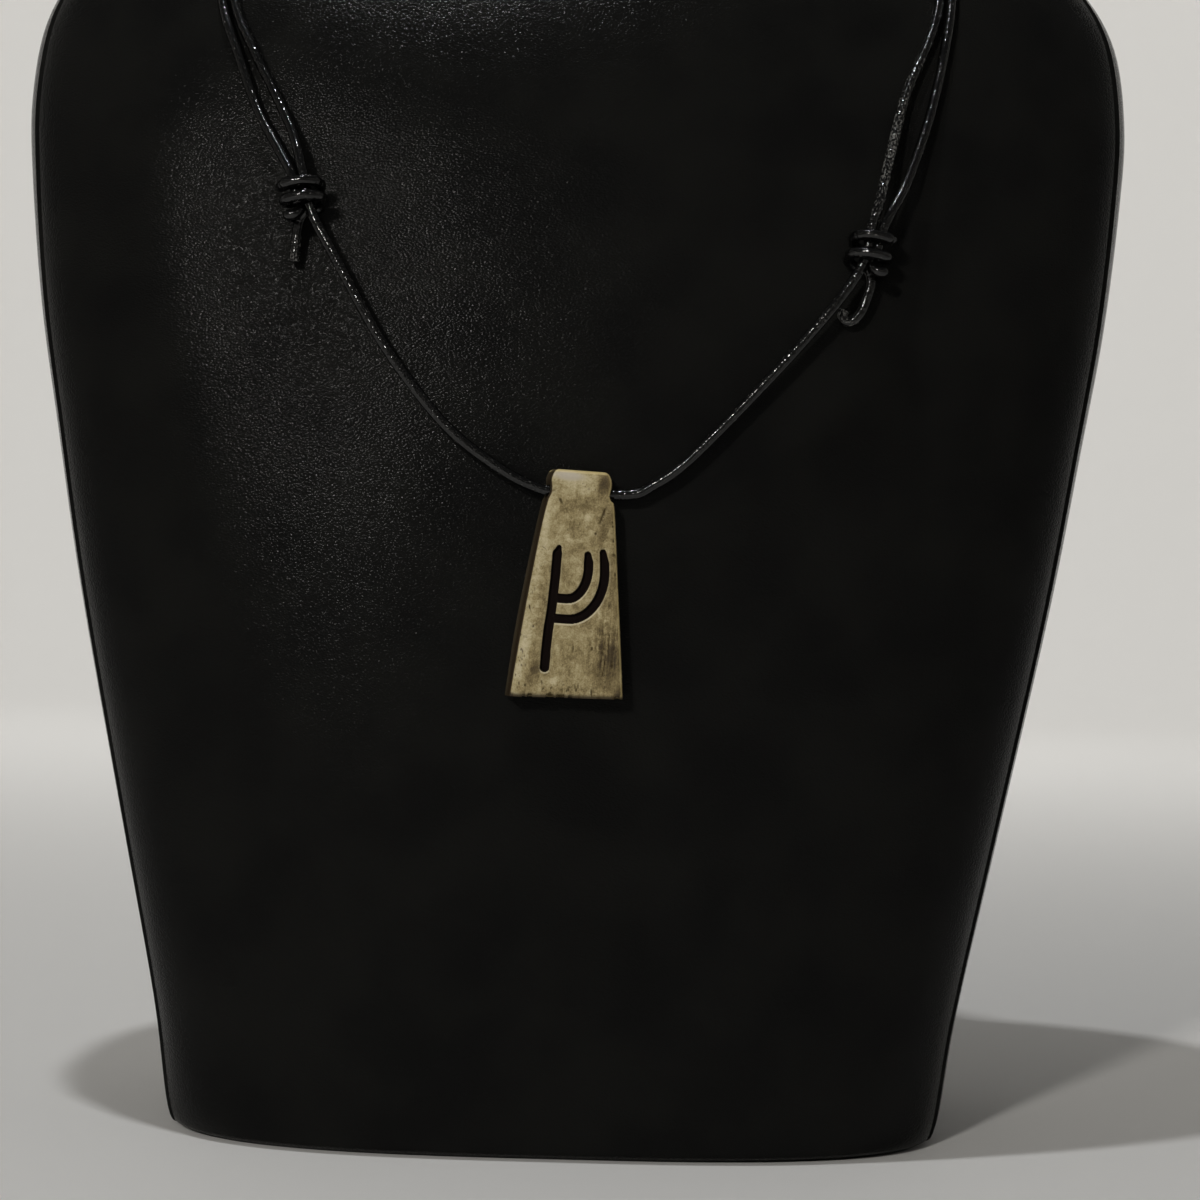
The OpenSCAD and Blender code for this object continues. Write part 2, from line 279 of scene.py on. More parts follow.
cord_wax, tree, shader = new_material("waxed_black_leather")
straight = attribute(tree, "straight", "Vector")
pitted = grain(tree, straight, 2600, 5, 0.6, stretch=(1, 1, 0.45))
wrinkled = grain(tree, straight, 1500, 1, 0.5, 0.3, stretch=(0.2, 0.2, 1))
flecks = grain(tree, straight, 3000, 3, 0.6, stretch=(1, 1, 0.6))
patchy = grain(tree, straight, 130)
scuffed = multiplied(tree, attribute(tree, "scuff"), 0.15)
rubbed = ranged(tree, added(tree, flecks, scuffed), 0.64, 0.72)
dyed = mixed(tree, ranged(tree, patchy, 0.3, 0.75), CORD_BLACK, CORD_GREY)
tree.links.new(mixed(tree, rubbed, dyed, CORD_BARE), shader.inputs["Base Color"])
tree.links.new(ranged(tree, added(tree, pitted, patchy), 0.7, 1.4, 0.07, 0.15), shader.inputs["Roughness"])
relief = added(tree, multiplied(tree, pitted, 0.08), wrinkled)
tree.links.new(bumped(tree, relief, 0.00015), shader.inputs["Normal"])
shader.inputs["Specular IOR Level"].default_value = 0.5

cord_path = smooth_rows(CORD_ROUTE, CORD_STEPS)
cord = strand("leather_cord", cord_path, CORD_SEED, *CORD_WORN)
cord.data.materials.append(cord_wax)
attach(cord, "root")
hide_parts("cord")

# Sliding knots: each end of the cord is wound twice round its neighbour, tucked under its own
# turns and pulled tight. The left end hangs straight, and the right one has curled into a hook.
KNOT_TURNS = 2
KNOT_HALF_WIDTH = 0.0037
KNOT_HALF_DEPTH = 0.0033
KNOT_SETBACK = 0.0009
KNOT_DROP = 0.0004
KNOT_TILT = math.radians(9)
COIL_START = math.radians(225)
COIL_STEPS = 6 * KNOT_TURNS
KNOT_STEPS = 10
KNOT_SEED = 11
# How far up a tail its leather is rubbed, from the cut end
WORN_END = 0.006
# Across, out from the chest and up along the strands, from the end of its own strand to the first turn
KNOT_START = [
    (-0.00105, 0, -0.0022), (-0.00135, 0.00045, -0.0032), (-0.0023, 0.00085, -0.00375),
    (-0.0033, 0.00035, -0.0035),
]
# Behind the top turn, with heights from the top of the coil
KNOT_TUCK = [(-0.0025, -0.0025, 0.0008), (-0.0008, -0.0029, 0.0009), (0.0002, -0.0023, -0.0002)]
# Down between the strands and the chest
KNOT_RUN_DOWN = [(0, -0.00195, 0.0006), (0, -0.00195, -0.0024)]
# The ends that hang below the knots, in the frame's own directions
LEFT_TAIL = [
    (-0.0501, -0.0604, 0.1734), (-0.0506, -0.0603, 0.1715), (-0.0509, -0.0603, 0.1686),
    (-0.0511, -0.0603, 0.1654),
]
RIGHT_TAIL = [
    (0.0548, -0.0609, 0.1653), (0.055, -0.0609, 0.1636), (0.0544, -0.0609, 0.1613),
    (0.0536, -0.0609, 0.1591), (0.0523, -0.0609, 0.1573), (0.0509, -0.0609, 0.1569),
    (0.05, -0.0609, 0.1578), (0.0504, -0.0609, 0.1589),
]
# Name, node, middle, lean with the strands, side of the coil's start, height of a turn, tail
KNOTS = [
    ("left_sliding_knot", "left_knot", (-0.0498, -0.0622, 0.1776), math.radians(-15), 1, 0.0029, LEFT_TAIL),
    ("right_sliding_knot", "right_knot", (0.0548, -0.0625, 0.1699), math.radians(15), -1, 0.0035, RIGHT_TAIL),
]


def knot_coil(pitch):
    """Turns of the coil, which climbs from the left and passes the front once a turn.

    Its last points lead behind the top turn and down between the strands and the chest.
    """
    end = math.pi + math.tau * KNOT_TURNS
    points = []
    for s in range(COIL_STEPS + 1):
        a = COIL_START + (end - COIL_START) * s / COIL_STEPS
        rise = (a - math.pi) / math.tau - KNOT_TURNS / 2
        points.append((
            KNOT_HALF_WIDTH * math.cos(a), KNOT_HALF_DEPTH * math.sin(a) - KNOT_SETBACK,
            pitch * rise - KNOT_DROP,
        ))
    top = pitch * KNOT_TURNS / 2 - KNOT_DROP
    return points + [(x, y, top + z) for x, y, z in KNOT_TUCK] + KNOT_RUN_DOWN


def knot_directions(lean):
    """The directions across, out from the chest and up along the strands, of a knot that leans."""
    lean_sine, lean_cosine = math.sin(lean), math.cos(lean)
    tilt_sine, tilt_cosine = math.sin(KNOT_TILT), math.cos(KNOT_TILT)
    return (
        Vector((lean_cosine, 0, -lean_sine)),
        Vector((lean_sine * tilt_sine, -tilt_cosine, lean_cosine * tilt_sine)),
        Vector((lean_sine * tilt_cosine, tilt_sine, lean_cosine * tilt_cosine)),
    )


for seed, (name, node, at, lean, side, pitch, tail) in enumerate(KNOTS, KNOT_SEED):
    across, out, up = knot_directions(lean)
    turns = [Vector(at) + side * x * across + y * out + z * up for x, y, z in KNOT_START + knot_coil(pitch)]
    path = smooth_rows([*turns, *tail], KNOT_STEPS)
    length = sum(math.dist(a, b) for a, b in zip(path, path[1:]))
    knot = strand(name, path, seed, length, WORN_END)
    knot.data.materials.append(cord_wax)
    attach(knot, "root")
    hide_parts(node)

# Pendant: a flat plate sawn from bone, wider at the foot, with a hole drilled from side to side.
# It hangs on the cord. Its rune is cut in with a knife and stained dark, and its face is worn smooth.
PLATE_AT = Vector((0.00275, -0.0657, 0.1239))
PLATE_LEAN = math.radians(2.8)
PLATE_HEIGHT = 0.0412
PLATE_THICKNESS = 0.0046
PLATE_TOP = 0.00395
PLATE_FOOT = PLATE_TOP - PLATE_HEIGHT
PLATE_CORNER = 0.0007
FOOT_SKEW = 0.045
HOLE_RADIUS = 0.0014
HOLE_SIDES = 48
DRILL_LENGTH = 0.03
# Height from the hole, left edge, right edge, rounding from both faces, slant of the left side, skew
PLATE_ROWS = [
    (PLATE_TOP, -0.0052, 0.0044, 0.0009, 0.0006, 0),
    (0.0036, -0.0059, 0.0049, 0.0003, 0.0008, 0),
    (0.0029, -0.0063, 0.00535, 0.00005, 0.00085, 0),
    (0.002, -0.0065, 0.0056, 0, 0.00085, 0),
    (0.0012, -0.0064, 0.0056, 0, 0.00085, 0),
    (0.0004, -0.00625, 0.00545, 0, 0.0008, 0),
    (-0.0004, -0.0063, 0.0054, 0, 0.0008, 0),
    (-0.0012, -0.0066, 0.0057, 0, 0.0008, 0),
    (-0.002, -0.0069, 0.0063, 0, 0.00085, 0),
    (-0.006, -0.0076, 0.00685, 0, 0.00085, 0),
    (-0.015, -0.00885, 0.0079, 0, 0.00095, 0),
    (-0.025, -0.01005, 0.0091, 0, 0.001, 0.01),
    (PLATE_FOOT + 0.0009, -0.011, 0.01035, 0, 0.0008, 0.04),
    (PLATE_FOOT + 0.0003, -0.0109, 0.0102, 0.0002, 0.0008, FOOT_SKEW),
    (PLATE_FOOT, -0.0105, 0.00985, 0.0006, 0.0008, FOOT_SKEW),
]
PLATE_STEP = 0.00016
# Columns of the mesh across the front, round a corner, over a side and across the back
FRONT_COLUMNS, CORNER_COLUMNS, SIDE_COLUMNS, BACK_COLUMNS = 140, 6, 16, 36
# Chips bitten out of the foot's front edge: place across, radius
CHIPS = [
    (-0.0075, 0.00025), (-0.0064, 0.0004), (-0.0028, 0.0006), (-0.0009, 0.0006), (0.0009, 0.0003),
    (0.0094, 0.0004),
]
CHIP_SINK = 0.0002
CHIP_STRETCH = (1.3, 1.6, 0.9)


def plate_section():
    """Around one section: places across and through the inset plate, and the way out from there."""
    columns = []
    for s in range(FRONT_COLUMNS):
        columns.append((s / FRONT_COLUMNS, 0, 0, -1))
    sides = (
        (1, 0, -90, SIDE_COLUMNS, (0, 1)), (1, 1, 0, BACK_COLUMNS, (-1, 0)),
        (0, 1, 90, SIDE_COLUMNS, (0, -1)), (0, 0, 180, 0, (0, 0)),
    )
    for across, through, start, count, way in sides:
        for s in range(CORNER_COLUMNS):
            a = math.radians(start + 90 * s / CORNER_COLUMNS)
            columns.append((across, through, math.cos(a), math.sin(a)))
        a = math.radians(start + 90)
        for s in range(count):
            columns.append((
                across + way[0] * s / count, through + way[1] * s / count, math.cos(a), math.sin(a)
            ))
    return columns


def plate_point(column, row):
    """Where a column of the section lies at the height of a row, in the plate's own directions."""
    across, through, out_x, out_y = column
    z, left, right, rounding, slant, skew = row
    front, back = rounding - PLATE_THICKNESS / 2, PLATE_THICKNESS / 2 - rounding
    left += slant * (1 - through)
    x = left + PLATE_CORNER + across * (right - left - 2 * PLATE_CORNER) + PLATE_CORNER * out_x
    y = front + PLATE_CORNER + through * (back - front - 2 * PLATE_CORNER) + PLATE_CORNER * out_y
    return Vector((x, y, z + skew * x))


def plate_rows():
    """Rows of the plate from the foot to the top, about a step apart."""
    rows = PLATE_ROWS[::-1]
    made = []
    for i in range(len(rows) - 1):
        steps = max(2, round((rows[i + 1][0] - rows[i][0]) / PLATE_STEP))
        ends = [rows[max(0, min(len(rows) - 1, i + k))] for k in (-1, 0, 1, 2)]
        made += smooth_rows(ends, steps)[steps:2 * steps]
    return made + [rows[-1]]


def lofted(name, columns, rows, point):
    """A closed form: a flat base with a corner for each column, extruded upwards from row to row."""
    bm = bmesh.new()
    bmesh.ops.create_circle(bm, cap_ends=True, segments=len(columns), radius=1)
    order = bm.verts.layers.int.new("order")
    bm.verts.ensure_lookup_table()
    for i, v in enumerate(bm.verts):
        v[order] = i
        v.co = point(columns[i], rows[0])
    edges = bm.edges[:]
    for row in rows[1:]:
        made = bmesh.ops.extrude_edge_only(bm, edges=edges)["geom"]
        edges = [g for g in made if isinstance(g, bmesh.types.BMEdge) and len(g.link_faces) == 1]
        for v in made:
            if isinstance(v, bmesh.types.BMVert):
                v.co = point(columns[v[order]], row)
    bmesh.ops.edgeloop_fill(bm, edges=edges)
    bmesh.ops.recalc_face_normals(bm, faces=bm.faces)
    return finished(bm, name)


rows = plate_rows()
pendant = lofted("bone_pendant", plate_section(), rows, plate_point)

# The drill and the chips are cut out of the plain plate
bm = bmesh.new()
bmesh.ops.create_cone(
    bm, cap_ends=True, segments=HOLE_SIDES, radius1=HOLE_RADIUS, radius2=HOLE_RADIUS, depth=DRILL_LENGTH,
    matrix=Matrix.Rotation(math.pi / 2, 4, "Y"),
)
for x, radius in CHIPS:
    at = Vector((x, -PLATE_THICKNESS / 2 + CHIP_SINK, PLATE_FOOT + FOOT_SKEW * x))
    bmesh.ops.create_icosphere(
        bm, subdivisions=2, radius=radius,
        matrix=Matrix.Translation(at) @ Matrix.Diagonal((*CHIP_STRETCH, 1)),
    )
cutter = finished(bm, "drill")
cut = pendant.modifiers.new("drill", "BOOLEAN")
cut.operation, cut.solver, cut.object = "DIFFERENCE", "EXACT", cutter
plain = pendant.data
pendant.data = bpy.data.meshes.new_from_object(pendant.evaluated_get(bpy.context.evaluated_depsgraph_get()))
pendant.modifiers.clear()
bpy.data.objects.remove(cutter)
bpy.data.meshes.remove(plain)

# Carved lines in the plate's own plane. Their upper ends have only these shares of the full width
RUNE_WIDTH = 0.0017
RUNE_DEPTH = 0.0009
STAVE = [
    (-0.0031, -0.01025), (-0.00335, -0.0113), (-0.0034, -0.016), (-0.0036, -0.021), (-0.00395, -0.0253),
    (-0.0041, -0.029), (-0.0041, -0.0321),
]
STAVE_TIP = 0.55
ARM_TIP = 0.7
ARM_STEPS = 12
# Side of the arm, its top, where its bend starts, its foot, the middle of its bend, lean of its top
ARMS = [
    (0.0025, -0.0112, -0.0139, -0.0194, -0.001, 0.0003),
    (0.0055, -0.0106, -0.0149, -0.0231, -0.0006, 0.0006),
]
# The groove's share of the rune's depth, and the depths of its rounded shoulders, a mark and a pore
GROOVE_SHARE = 0.93
SHOULDER_DEPTH = 0.00007
MARK_DEPTH = 0.00012
PORE_DEPTH = 0.00008
PORE_SEED = 29


def arm_path(side, top, bend, foot, middle, lean):
    """Points of an arm, which runs down and bends round into the stave."""
    points = [(side - lean, top), (side - lean / 4, (top + bend) / 2)]
    for s in range(ARM_STEPS + 1):
        a = math.pi / 2 * s / ARM_STEPS
        points.append((middle + (side - middle) * math.cos(a), bend + (foot - bend) * math.sin(a)))
    return points + [(STAVE[2][0], foot)]


def depth_inside(points, path, tip):
    """How far each point lies inside a line that follows path, or less than nothing outside it."""
    inside = np.full(len(points), -1.0)
    widths = [tip] + [1] * (len(path) - 1)
    for (a, b), (width_a, width_b) in zip(zip(path, path[1:]), zip(widths, widths[1:])):
        a, b = np.array(a), np.array(b)
        way = b - a
        t = np.clip((points - a) @ way / (way @ way), 0, 1)
        distance = np.linalg.norm(points - a - t[:, None] * way, axis=1)
        inside = np.maximum(inside, (width_a + (width_b - width_a) * t) * RUNE_WIDTH / 2 - distance)
    return inside


def step(values, low, high):
    """A smooth step from 0 at low to 1 at high."""
    t = np.clip((values - low) / (high - low), 0, 1)
    return t * t * (3 - 2 * t)


def hills(points, table):
    """The sum of soft hills: place across, height, half width, half height, tilt, amount."""
    total = np.zeros(len(points))
    for x, z, wide, high, tilt, amount in table:
        a = math.radians(tilt)
        dx, dz = points[:, 0] - x, points[:, 1] - z
        u = (dx * math.cos(a) + dz * math.sin(a)) / wide
        w = (dz * math.cos(a) - dx * math.sin(a)) / high
        total += amount * np.exp(-(u * u + w * w))
    return total


# Lighter and darker zones of the bone's face
ZONES = [
    (-0.0008, 0.002, 0.006, 0.003, 0, 0.34),
    (-0.0027, 0.0027, 0.003, 0.0013, 0, 0.25),
    (0.0042, 0.0017, 0.0012, 0.0017, 0, -1.0),
    (-0.0057, -0.0062, 0.0013, 0.0045, -8, 0.5),
    (-0.0032, -0.0066, 0.0012, 0.0025, -8, 0.3),
    (-0.0027, -0.0032, 0.001, 0.0014, 10, -0.32),
    (0.0002, -0.0018, 0.0022, 0.001, 0, -0.3),
    (-0.0012, -0.0064, 0.0012, 0.0012, 0, -0.15),
    (0.0016, -0.0045, 0.0008, 0.0007, 0, 0.45),
    (0.0025, -0.0069, 0.0009, 0.0006, 0, 0.35),
    (0.0006, -0.0088, 0.0008, 0.0005, 0, 0.4),
    (-0.0015, -0.0085, 0.0007, 0.0006, 0, 0.35),
    (0.0049, -0.0055, 0.0011, 0.0034, -10, -0.3),
    (0.0002, -0.013, 0.0018, 0.003, 0, 0.1),
    (0.007, -0.0125, 0.0008, 0.006, 0, -0.22),
    (-0.0071, -0.0165, 0.0013, 0.006, -6, 0.42),
    (-0.0079, -0.028, 0.001, 0.0037, -6, 0.62),
    (-0.009, -0.0338, 0.0013, 0.0025, 0, 0.45),
    (-0.0053, -0.0205, 0.0008, 0.0035, 0, -0.12),
    (-0.0058, -0.0325, 0.0011, 0.0019, 0, -0.55),
    (-0.0027, -0.0345, 0.002, 0.001, 0, 0.4),
    (-0.0005, -0.0288, 0.0018, 0.003, 0, 0.14),
    (0.0005, -0.0318, 0.0007, 0.0018, 0, -0.14),
    (0.0029, -0.0345, 0.0018, 0.0016, 0, 0.18),
    (0.0066, -0.029, 0.0022, 0.0052, 4, -0.5),
    (0.0088, -0.0288, 0.0009, 0.003, 0, -0.25),
    (0.0054, -0.0222, 0.0012, 0.0014, 40, 0.2),
    (0.0077, -0.0362, 0.0013, 0.0006, 0, 0.35),
    # This zone darkens the lower right corner: partly its own brown, partly painted shade standing in for the
    # rounding of that corner
    (0.0098, -0.0362, 0.001, 0.0012, 0, -0.9),
]
# Pores, streaks and stains of the face
MARKS = [
    (-0.0034, -0.0018, 0.0003, 0.0007, 31, 0.85), (0.0015, 0.0007, 0.0003, 0.0003, 0, 0.5),
    (0.0028, 0.0004, 0.0002, 0.0002, 0, 0.4), (-0.0048, 0, 0.0006, 0.0005, 0, 0.4),
    (0.0046, -0.0032, 0.0002, 0.0006, -14, 0.7), (0.0042, -0.0044, 0.00024, 0.0015, -14, 0.75),
    (0.0033, -0.0073, 0.00022, 0.00028, 0, 0.9), (0.0054, -0.0035, 0.0004, 0.0002, 10, 0.6),
    (0.0055, -0.0067, 0.0002, 0.0004, -10, 0.6), (0.0062, -0.005, 0.0002, 0.00028, 0, 0.8),
    (0.0063, -0.0058, 0.00022, 0.0003, 0, 0.8), (0.0066, -0.0084, 0.0002, 0.0003, 0, 0.7),
    (0.007, -0.0109, 0.0002, 0.0003, 0, 0.85), (0.0074, -0.0144, 0.0002, 0.0004, 0, 0.9),
    (-0.0058, -0.0105, 0.0006, 0.00012, -30, 0.6), (-0.0054, -0.0132, 0.0004, 0.00014, 40, 0.4),
    (-0.0014, -0.0067, 0.0003, 0.0006, 0, 0.4), (-0.0012, -0.0048, 0.0002, 0.0004, 0, 0.4),
    (-0.0067, -0.0248, 0.0002, 0.0003, 0, 0.85), (-0.0078, -0.0269, 0.0003, 0.0002, 0, 0.5),
    (0.0042, -0.0281, 0.0002, 0.0004, 0, 1.0), (0.0008, -0.0283, 0.00018, 0.0007, 0, 0.8),
    (0.0006, -0.0268, 0.0003, 0.0003, 0, 0.3), (0.0007, -0.0296, 0.0002, 0.0003, 0, 0.4),
    (0.0072, -0.0268, 0.00018, 0.0016, 0, 0.6), (0.0056, -0.0278, 0.0002, 0.0012, 0, 0.45),
    (0.0066, -0.0311, 0.0003, 0.0006, 0, 0.45), (0.0081, -0.0305, 0.0002, 0.001, 0, 0.4),
    (0.0062, -0.0288, 0.0003, 0.0003, 0, 0.5), (0.0022, -0.035, 0.00013, 0.0005, 0, 0.8),
    (0.0047, -0.036, 0.00018, 0.0007, 6, 1.0), (0.0048, -0.0345, 0.00012, 0.0005, 0, 0.5),
    (-0.0075, -0.0217, 0.00012, 0.0008, 20, 0.5), (-0.0084, -0.0191, 0.0003, 0.0004, 0, 0.5),
    (-0.0007, -0.0344, 0.0003, 0.0003, 0, 0.4), (0.007, -0.034, 0.0002, 0.0003, 0, 0.6),
    (-0.0075, -0.0369, 0.0003, 0.0003, 0, 0.9), (-0.0064, -0.0371, 0.0005, 0.0003, 0, 0.9),
    (-0.0028, -0.037, 0.0006, 0.0004, 0, 1.0), (-0.0009, -0.0371, 0.0006, 0.0004, 0, 1.0),
    (0.0009, -0.0372, 0.0005, 0.0002, 0, 0.7), (0.0094, -0.0369, 0.0008, 0.0004, 0, 0.9),
    (0.0025, -0.0372, 0.0003, 0.0002, 0, 0.6), (0.0061, -0.037, 0.0005, 0.0002, 0, 0.6),
]
# Fields of fine pores: place across, height, half width, half height, how many
PORE_FIELDS = [
    (-0.0086, -0.0305, 0.0008, 0.0045, 34), (-0.0072, -0.016, 0.001, 0.006, 16),
    (0.001, -0.005, 0.0035, 0.003, 14), (0.0065, -0.03, 0.0024, 0.005, 46),
    (-0.001, -0.0358, 0.008, 0.0009, 60), (0.0069, -0.012, 0.0006, 0.008, 20),
]
# The face where it is polished, and where its streaks are strong, as hills
POLISHED = [(-0.0024, 0.0029, 0.0032, 0.001, -3, 1.2)]
STREAKED = [(0.0068, -0.0285, 0.003, 0.007, 0, 1.2)]
random.seed(PORE_SEED)
pores = []
for x, z, wide, high, count in PORE_FIELDS:
    for _ in range(count):
        size = random.uniform(0.00008, 0.00016)
        pores.append((
            random.gauss(x, wide / 1.6), random.gauss(z, high / 1.6), size, size * random.uniform(1, 3.2), 0,
            random.uniform(0.35, 0.95),
        ))

# Each point in the plate's own directions, its height before the foot's skew, and the front face,
# the side edges and how far it belongs to the face there
mesh = pendant.data
local = np.empty(len(mesh.vertices) * 3, dtype=np.float32)
mesh.vertices.foreach_get("co", local)
local = local.reshape(-1, 3).astype(float)
flat = local[:, [0, 2]]
heights = np.array([row[0] for row in rows])
plan_z = local[:, 2] - np.interp(local[:, 2], heights, [row[5] for row in rows]) * local[:, 0]
front_y = np.interp(plan_z, heights, [row[3] for row in rows]) - PLATE_THICKNESS / 2
facing = 1 - step(local[:, 1] - front_y, 0.0001, 0.0005)
left_edge = np.interp(plan_z, heights, [row[1] + row[4] for row in rows])
right_edge = np.interp(plan_z, heights, [row[2] for row in rows])

# The rune, the marks and the pores are sunk into the face
lines = [(STAVE, STAVE_TIP)] + [(arm_path(*arm), ARM_TIP) for arm in ARMS]
inside = np.max([depth_inside(flat, path, tip) for path, tip in lines], axis=0)
higher = np.max([depth_inside(flat + (0, 0.0002), path, tip) for path, tip in lines], axis=0)
marks = np.clip(hills(flat, MARKS), 0, 1)
holes = np.clip(hills(flat, pores), 0, 1)
sunk = (
    step(inside, -0.00004, 0.00022) * RUNE_DEPTH * GROOVE_SHARE
    + step(inside, -0.00022, 0.00006) * SHOULDER_DEPTH + marks * MARK_DEPTH + holes * PORE_DEPTH
)
local[:, 1] += sunk * facing
carved = step(inside, -0.00008, 0.00006) * facing
# A pale lip along the lines: partly clean bone beside the stain, and, strongest on their lower side, a
# painted highlight where the lips would catch light from above
lower_side = step(higher - inside, 0.00004, 0.00016)
lip_highlight = step(inside, -0.00036, -0.0002) * (0.3 + 0.7 * lower_side) * (facing - carved)
through = (local[:, 1] - front_y) / PLATE_THICKNESS
beside = step(left_edge - local[:, 0], -0.00042, -0.00022)
foot_edge = 1 - step(plan_z, PLATE_FOOT + 0.00025, PLATE_FOOT + 0.0006)
at_foot = (1 - step(plan_z, PLATE_FOOT + 0.0008, PLATE_FOOT + 0.0012)) * (1 - step(through, 0.2, 0.5))

# What the bone's material reads at each point
for name, values in (
    ("tone", hills(flat, ZONES) * facing),
    ("stain", np.clip(marks + holes * 0.8, 0, 1) * np.maximum(facing, at_foot)),
    ("carved", carved), ("lip_highlight", lip_highlight),
    # Painted highlight: a pale line along the right edge of the face and along the top
    ("edge_highlight", np.maximum(
        step(local[:, 0] - right_edge, -0.00045, -0.0002) * facing,
        step(plan_z, PLATE_TOP - 0.0007, PLATE_TOP - 0.0003)
    )),
    ("dark_edge", np.maximum(beside * (1 - step(through, 0.4, 0.6)), foot_edge * (0.35 + 0.65 * facing))),
    ("left_side", beside), ("polish", hills(flat, POLISHED) * facing),
    ("streaky", 0.3 + np.clip(hills(flat, STREAKED), 0, 1.2)),
):
    mesh.attributes.new(name, "FLOAT", "POINT").data.foreach_set("value", values.astype(np.float32))
places = local.astype(np.float32).ravel()
mesh.attributes.new("plate", "FLOAT_VECTOR", "POINT").data.foreach_set("vector", places)
mesh.vertices.foreach_set("co", places)
mesh.transform(Matrix.Translation(PLATE_AT) @ Matrix.Rotation(PLATE_LEAN, 4, "Y"))
mesh.shade_smooth()
mesh.update()

# Colours of the bone from its darkest tone to its palest, with the places of those between
BONE_DARKEST = (0.055, 0.037, 0.016, 1)
BONE_BETWEEN = [
    (0.3, (0.19, 0.142, 0.062, 1)), (0.55, (0.36, 0.287, 0.14, 1)), (0.75, (0.51, 0.432, 0.25, 1)),
]
BONE_PALEST = (0.67, 0.585, 0.385, 1)
POLISH_COLOUR = (0.53, 0.475, 0.4, 1)
SIDE_COLOUR = (0.06, 0.046, 0.027, 1)
# Colour of the painted highlight on the right edge and the top
EDGE_HIGHLIGHT_COLOUR = (0.66, 0.53, 0.24, 1)
# Colour of the pale lip along the lines, partly a painted highlight
LIP_HIGHLIGHT_COLOUR = (0.68, 0.6, 0.41, 1)
DARK_EDGE_COLOUR = (0.03, 0.019, 0.009, 1)
STAIN_COLOUR = (0.04, 0.026, 0.009, 1)
RUNE_COLOUR = (0.0045, 0.0014, 0.0008, 1)

bone, tree, shader = new_material("worn_bone")
plate = attribute(tree, "plate", "Vector")
polish = attribute(tree, "polish")
cloudy = grain(tree, plate, 330, 3, 0.5, 0.6)
mottled = grain(tree, plate, 950, 5, 0.68, 0.8)
streaked = grain(tree, plate, 1900, 4, 0.6, stretch=(1, 1, 0.12))
fine = grain(tree, plate, 3800, 3, 0.6)
uneven = ranged(tree, cloudy, 0.3, 0.7, -0.13, 0.13)
uneven = added(tree, uneven, ranged(tree, mottled, 0.32, 0.68, -0.17, 0.17))
uneven = added(tree, uneven, ranged(tree, fine, 0.3, 0.7, -0.13, 0.13))
uneven = multiplied(tree, uneven, ranged(tree, polish, 0.2, 0.9, 1, 0.3))
streaks = multiplied(tree, ranged(tree, streaked, 0.3, 0.7, -0.26, 0.22), attribute(tree, "streaky"))
tone = added(tree, added(tree, attribute(tree, "tone"), uneven), streaks)
ramp = add_node(tree, "ShaderNodeValToRGB", {"Fac": ranged(tree, tone, -1.0, 1.0)})
ramp.color_ramp.elements[0].color = BONE_DARKEST
ramp.color_ramp.elements[1].color = BONE_PALEST
for position, colour in BONE_BETWEEN:
    ramp.color_ramp.elements.new(position).color = colour
colour = mixed(tree, ranged(tree, polish, 0.2, 1.0, 0, 0.75), ramp.outputs["Color"], POLISH_COLOUR)
colour = mixed(tree, attribute(tree, "left_side"), colour, SIDE_COLOUR)
# Painted highlight along the right edge of the face and along the top
colour = mixed(tree, ranged(tree, attribute(tree, "edge_highlight"), 0, 1, 0, 0.7), colour, EDGE_HIGHLIGHT_COLOUR)
# Pale lip along the lines, partly clean bone and partly a painted highlight, strongest on their lower side
colour = mixed(tree, ranged(tree, attribute(tree, "lip_highlight"), 0, 1, 0, 0.6), colour, LIP_HIGHLIGHT_COLOUR)
# Darker along the front half of the left side and along the foot
colour = mixed(tree, ranged(tree, attribute(tree, "dark_edge"), 0.1, 0.9, 0, 0.9), colour, DARK_EDGE_COLOUR)
# Fine dark pores in clusters, besides the modelled ones
spots = add_node(tree, "ShaderNodeTexVoronoi", {
    "Vector": stretched(tree, plate, (1, 1, 0.7)), "Scale": 1500, "Randomness": 1,
}).outputs["Distance"]
clusters = ranged(tree, grain(tree, plate, 260, 2), 0.48, 0.62)
specks = multiplied(tree, ranged(tree, spots, 0.06, 0.17, 0.75, 0), clusters)
specks = multiplied(tree, specks, ranged(tree, polish, 0.1, 0.5, 1, 0))
stain = added(tree, attribute(tree, "stain"), specks)
colour = mixed(tree, ranged(tree, stain, 0.08, 0.8, 0, 0.86), colour, STAIN_COLOUR)
carved_mask = ranged(tree, attribute(tree, "carved"), 0.3, 0.7)
colour = mixed(tree, carved_mask, colour, RUNE_COLOUR)
tree.links.new(colour, shader.inputs["Base Color"])
dull = added(tree, added(tree, mottled, stain), worked_out(tree, "SUBTRACT", carved_mask, polish))
tree.links.new(ranged(tree, dull, 0.0, 1.4, 0.34, 0.8), shader.inputs["Roughness"])
tree.links.new(ranged(tree, added(tree, carved_mask, stain), 0, 0.7, 0.3, 0), shader.inputs["Coat Weight"])
relief = added(tree, added(tree, fine, mottled), multiplied(tree, stain, -1.5))
tree.links.new(bumped(tree, relief, 0.00006, 0.6), shader.inputs["Normal"])
shader.inputs["Specular IOR Level"].default_value = 0.12
shader.inputs["Coat Roughness"].default_value = 0.3

pendant.data.materials.clear()
pendant.data.materials.append(bone)
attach(pendant, "root")
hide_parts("pendant")

# Neck bust: a plain display form covered with black grained leatherette, glued over a light core.
# The front panel meets the side bands in a seam that runs down just inside each edge.
BUST_HEIGHT = 0.31
